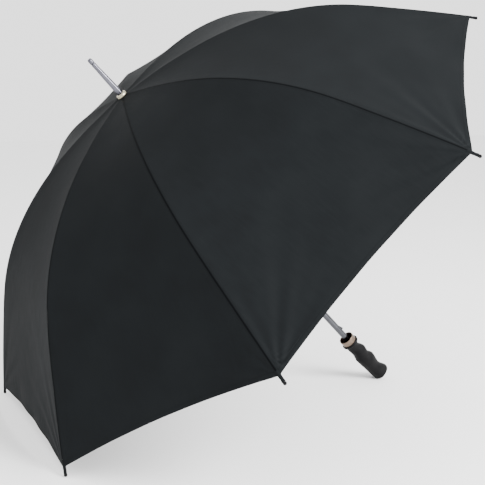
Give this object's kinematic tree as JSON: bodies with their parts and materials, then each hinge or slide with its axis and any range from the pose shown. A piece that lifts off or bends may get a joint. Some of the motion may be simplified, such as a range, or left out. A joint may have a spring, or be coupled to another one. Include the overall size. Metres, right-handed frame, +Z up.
{
  "type": "golf umbrella",
  "caption": "Large manual stick umbrella, standing open: dark cloth canopy on sprung steel ribs, straight metal shaft with ferrule, moulded black grip with finger bumps.",
  "frame": {"origin": "centre of the bounding box on the ground plane", "axes": "+Z up; +X from the canopy's crown towards the grip, level; the shaft lies in the XZ plane; +Y across the canopy"},
  "size_m": [0.8652, 1.1936, 0.8448],
  "materials": {
    "shaft_steel": "bright drawn steel tube",
    "ferrule_metal": "polished plated metal",
    "cap_ring": "pale plated ring, satin",
    "rib_steel": "zinc-plated spring steel, satin",
    "wire": "plain steel wire",
    "black_plastic": "moulded nylon, satin",
    "tip_plastic": "moulded black plastic",
    "canopy_cloth": "plain-woven polyester, faint sheen",
    "strap_cloth": "woven binding",
    "cup_metal": "warm satin plated metal",
    "grip_rubber": "moulded soft-touch grip with a fine texture"
  },
  "bodies": {
    "shaft": {"shaft_tube": "shaft_steel", "ferrule": "ferrule_metal", "crown_cap": "cap_ring", "crown_notch": "black_plastic", "crown_wire": "wire", "handle_cup": "cup_metal", "handle_grip": "grip_rubber"},
    "runner": {"runner": "black_plastic", "runner_wire": "wire"},
    "top_catch": {"top_catch": "rib_steel"},
    "bottom_catch": {"bottom_catch": "rib_steel"},
    "rib_1": {"rib_1": "rib_steel", "rib_joint_1": "rib_steel", "canopy_panel_1": "canopy_cloth"},
    "rib_end_1": {"rib_end_1": "rib_steel", "tip_cap_1": "tip_plastic"},
    "stretcher_1": {"stretcher_1": "rib_steel"},
    "rib_2": {"rib_2": "rib_steel", "rib_joint_2": "rib_steel", "canopy_panel_2": "canopy_cloth"},
    "rib_end_2": {"rib_end_2": "rib_steel", "tip_cap_2": "tip_plastic"},
    "stretcher_2": {"stretcher_2": "rib_steel"},
    "rib_3": {"rib_3": "rib_steel", "rib_joint_3": "rib_steel", "canopy_panel_3": "canopy_cloth"},
    "rib_end_3": {"rib_end_3": "rib_steel", "tip_cap_3": "tip_plastic"},
    "stretcher_3": {"stretcher_3": "rib_steel"},
    "rib_4": {"rib_4": "rib_steel", "rib_joint_4": "rib_steel", "canopy_panel_4": "canopy_cloth"},
    "rib_end_4": {"rib_end_4": "rib_steel", "tip_cap_4": "tip_plastic"},
    "stretcher_4": {"stretcher_4": "rib_steel"},
    "rib_5": {"rib_5": "rib_steel", "rib_joint_5": "rib_steel", "canopy_panel_5": "canopy_cloth"},
    "rib_end_5": {"rib_end_5": "rib_steel", "tip_cap_5": "tip_plastic"},
    "stretcher_5": {"stretcher_5": "rib_steel"},
    "rib_6": {"rib_6": "rib_steel", "rib_joint_6": "rib_steel", "canopy_panel_6": "canopy_cloth", "tie_strap": "strap_cloth"},
    "rib_end_6": {"rib_end_6": "rib_steel", "tip_cap_6": "tip_plastic"},
    "stretcher_6": {"stretcher_6": "rib_steel"},
    "rib_7": {"rib_7": "rib_steel", "rib_joint_7": "rib_steel", "canopy_panel_7": "canopy_cloth"},
    "rib_end_7": {"rib_end_7": "rib_steel", "tip_cap_7": "tip_plastic"},
    "stretcher_7": {"stretcher_7": "rib_steel"},
    "rib_8": {"rib_8": "rib_steel", "rib_joint_8": "rib_steel", "canopy_panel_8": "canopy_cloth"},
    "rib_end_8": {"rib_end_8": "rib_steel", "tip_cap_8": "tip_plastic"},
    "stretcher_8": {"stretcher_8": "rib_steel"}
  },
  "joints": [
    {"name": "runner_slide", "type": "slide", "parent": "shaft", "child": "runner", "axis": [0.6951, 0, -0.7189], "range_m": [0, 0.4395], "deforming": ["canopy_panel_1", "canopy_panel_2", "canopy_panel_3", "canopy_panel_4", "canopy_panel_5", "canopy_panel_6", "canopy_panel_7", "canopy_panel_8", "tie_strap", "top_catch", "bottom_catch"]},
    {"name": "top_catch_press", "type": "slide", "parent": "shaft", "child": "top_catch", "axis": [-0.7189, 0, -0.6951], "range_m": [0, 0.0035], "stiffness_N_per_m": 400, "springref_m": -0.002},
    {"name": "bottom_catch_press", "type": "slide", "parent": "shaft", "child": "bottom_catch", "axis": [-0.7189, 0, -0.6951], "range_m": [0, 0.0035], "stiffness_N_per_m": 400, "springref_m": -0.002},
    {"name": "rib_pivot_1", "type": "hinge", "parent": "shaft", "child": "rib_1", "pos_m": [-0.21441, -0.00459, 0.65629], "axis": [0.2751, 0.9239, 0.266], "range_deg": [0, 78.48]},
    {"name": "knee_1", "type": "hinge", "parent": "rib_1", "child": "rib_end_1", "pos_m": [0.03708, -0.12667, 0.82017], "axis": [-0.2751, -0.9239, -0.266], "range_deg": [0, 28.43]},
    {"name": "stretcher_pivot_1", "type": "hinge", "parent": "rib_1", "child": "stretcher_1", "pos_m": [0.03902, -0.12579, 0.8151], "axis": [-0.2751, -0.9239, -0.266], "range_deg": [0, 137]},
    {"name": "rib_pivot_2", "type": "hinge", "parent": "shaft", "child": "rib_2", "pos_m": [-0.21908, -0.01109, 0.65177], "axis": [0.6642, 0.3827, 0.6422], "range_deg": [0, 78.48]},
    {"name": "knee_2", "type": "hinge", "parent": "rib_2", "child": "rib_end_2", "pos_m": [-0.0917, -0.3058, 0.69565], "axis": [-0.6642, -0.3827, -0.6422], "range_deg": [0, 28.43]},
    {"name": "stretcher_pivot_2", "type": "hinge", "parent": "rib_2", "child": "stretcher_2", "pos_m": [-0.08886, -0.30368, 0.69145], "axis": [-0.6642, -0.3827, -0.6422], "range_deg": [0, 137]},
    {"name": "rib_pivot_3", "type": "hinge", "parent": "shaft", "child": "rib_3", "pos_m": [-0.22568, -0.01109, 0.64539], "axis": [0.6642, -0.3827, 0.6422], "range_deg": [0, 78.48]},
    {"name": "knee_3", "type": "hinge", "parent": "rib_3", "child": "rib_end_3", "pos_m": [-0.27382, -0.3058, 0.51956], "axis": [-0.6642, 0.3827, -0.6422], "range_deg": [0, 28.43]},
    {"name": "stretcher_pivot_3", "type": "hinge", "parent": "rib_3", "child": "stretcher_3", "pos_m": [-0.26972, -0.30368, 0.51658], "axis": [-0.6642, 0.3827, -0.6422], "range_deg": [0, 137]},
    {"name": "rib_pivot_4", "type": "hinge", "parent": "shaft", "child": "rib_4", "pos_m": [-0.23035, -0.00459, 0.64088], "axis": [0.2751, -0.9239, 0.266], "range_deg": [0, 78.48]},
    {"name": "knee_4", "type": "hinge", "parent": "rib_4", "child": "rib_end_4", "pos_m": [-0.4026, -0.12667, 0.39504], "axis": [-0.2751, 0.9239, -0.266], "range_deg": [0, 28.43]},
    {"name": "stretcher_pivot_4", "type": "hinge", "parent": "rib_4", "child": "stretcher_4", "pos_m": [-0.3976, -0.12579, 0.39293], "axis": [-0.2751, 0.9239, -0.266], "range_deg": [0, 137]},
    {"name": "rib_pivot_5", "type": "hinge", "parent": "shaft", "child": "rib_5", "pos_m": [-0.23035, 0.00459, 0.64088], "axis": [-0.2751, -0.9239, -0.266], "range_deg": [0, 78.48]},
    {"name": "knee_5", "type": "hinge", "parent": "rib_5", "child": "rib_end_5", "pos_m": [-0.4026, 0.12667, 0.39504], "axis": [0.2751, 0.9239, 0.266], "range_deg": [0, 28.43]},
    {"name": "stretcher_pivot_5", "type": "hinge", "parent": "rib_5", "child": "stretcher_5", "pos_m": [-0.3976, 0.12579, 0.39293], "axis": [0.2751, 0.9239, 0.266], "range_deg": [0, 137]},
    {"name": "rib_pivot_6", "type": "hinge", "parent": "shaft", "child": "rib_6", "pos_m": [-0.22568, 0.01109, 0.64539], "axis": [-0.6642, -0.3827, -0.6422], "range_deg": [0, 78.48]},
    {"name": "knee_6", "type": "hinge", "parent": "rib_6", "child": "rib_end_6", "pos_m": [-0.27382, 0.3058, 0.51956], "axis": [0.6642, 0.3827, 0.6422], "range_deg": [0, 28.43]},
    {"name": "stretcher_pivot_6", "type": "hinge", "parent": "rib_6", "child": "stretcher_6", "pos_m": [-0.26972, 0.30368, 0.51658], "axis": [0.6642, 0.3827, 0.6422], "range_deg": [0, 137]},
    {"name": "rib_pivot_7", "type": "hinge", "parent": "shaft", "child": "rib_7", "pos_m": [-0.21908, 0.01109, 0.65177], "axis": [-0.6642, 0.3827, -0.6422], "range_deg": [0, 78.48]},
    {"name": "knee_7", "type": "hinge", "parent": "rib_7", "child": "rib_end_7", "pos_m": [-0.0917, 0.3058, 0.69565], "axis": [0.6642, -0.3827, 0.6422], "range_deg": [0, 28.43]},
    {"name": "stretcher_pivot_7", "type": "hinge", "parent": "rib_7", "child": "stretcher_7", "pos_m": [-0.08886, 0.30368, 0.69145], "axis": [0.6642, -0.3827, 0.6422], "range_deg": [0, 137]},
    {"name": "rib_pivot_8", "type": "hinge", "parent": "shaft", "child": "rib_8", "pos_m": [-0.21441, 0.00459, 0.65629], "axis": [-0.2751, 0.9239, -0.266], "range_deg": [0, 78.48]},
    {"name": "knee_8", "type": "hinge", "parent": "rib_8", "child": "rib_end_8", "pos_m": [0.03708, 0.12667, 0.82017], "axis": [0.2751, -0.9239, 0.266], "range_deg": [0, 28.43]},
    {"name": "stretcher_pivot_8", "type": "hinge", "parent": "rib_8", "child": "stretcher_8", "pos_m": [0.03902, 0.12579, 0.8151], "axis": [0.2751, -0.9239, 0.266], "range_deg": [0, 137]}
  ],
  "couplings": [
    {"joint": "rib_pivot_1", "follows": "runner_slide", "rad_per_m": 3.1166},
    {"joint": "knee_1", "follows": "runner_slide", "rad_per_m": 1.1291},
    {"joint": "stretcher_pivot_1", "follows": "runner_slide", "rad_per_m": 5.4404},
    {"joint": "rib_pivot_2", "follows": "runner_slide", "rad_per_m": 3.1166},
    {"joint": "knee_2", "follows": "runner_slide", "rad_per_m": 1.1291},
    {"joint": "stretcher_pivot_2", "follows": "runner_slide", "rad_per_m": 5.4404},
    {"joint": "rib_pivot_3", "follows": "runner_slide", "rad_per_m": 3.1166},
    {"joint": "knee_3", "follows": "runner_slide", "rad_per_m": 1.1291},
    {"joint": "stretcher_pivot_3", "follows": "runner_slide", "rad_per_m": 5.4404},
    {"joint": "rib_pivot_4", "follows": "runner_slide", "rad_per_m": 3.1166},
    {"joint": "knee_4", "follows": "runner_slide", "rad_per_m": 1.1291},
    {"joint": "stretcher_pivot_4", "follows": "runner_slide", "rad_per_m": 5.4404},
    {"joint": "rib_pivot_5", "follows": "runner_slide", "rad_per_m": 3.1166},
    {"joint": "knee_5", "follows": "runner_slide", "rad_per_m": 1.1291},
    {"joint": "stretcher_pivot_5", "follows": "runner_slide", "rad_per_m": 5.4404},
    {"joint": "rib_pivot_6", "follows": "runner_slide", "rad_per_m": 3.1166},
    {"joint": "knee_6", "follows": "runner_slide", "rad_per_m": 1.1291},
    {"joint": "stretcher_pivot_6", "follows": "runner_slide", "rad_per_m": 5.4404},
    {"joint": "rib_pivot_7", "follows": "runner_slide", "rad_per_m": 3.1166},
    {"joint": "knee_7", "follows": "runner_slide", "rad_per_m": 1.1291},
    {"joint": "stretcher_pivot_7", "follows": "runner_slide", "rad_per_m": 5.4404},
    {"joint": "rib_pivot_8", "follows": "runner_slide", "rad_per_m": 3.1166},
    {"joint": "knee_8", "follows": "runner_slide", "rad_per_m": 1.1291},
    {"joint": "stretcher_pivot_8", "follows": "runner_slide", "rad_per_m": 5.4404}
  ]
}
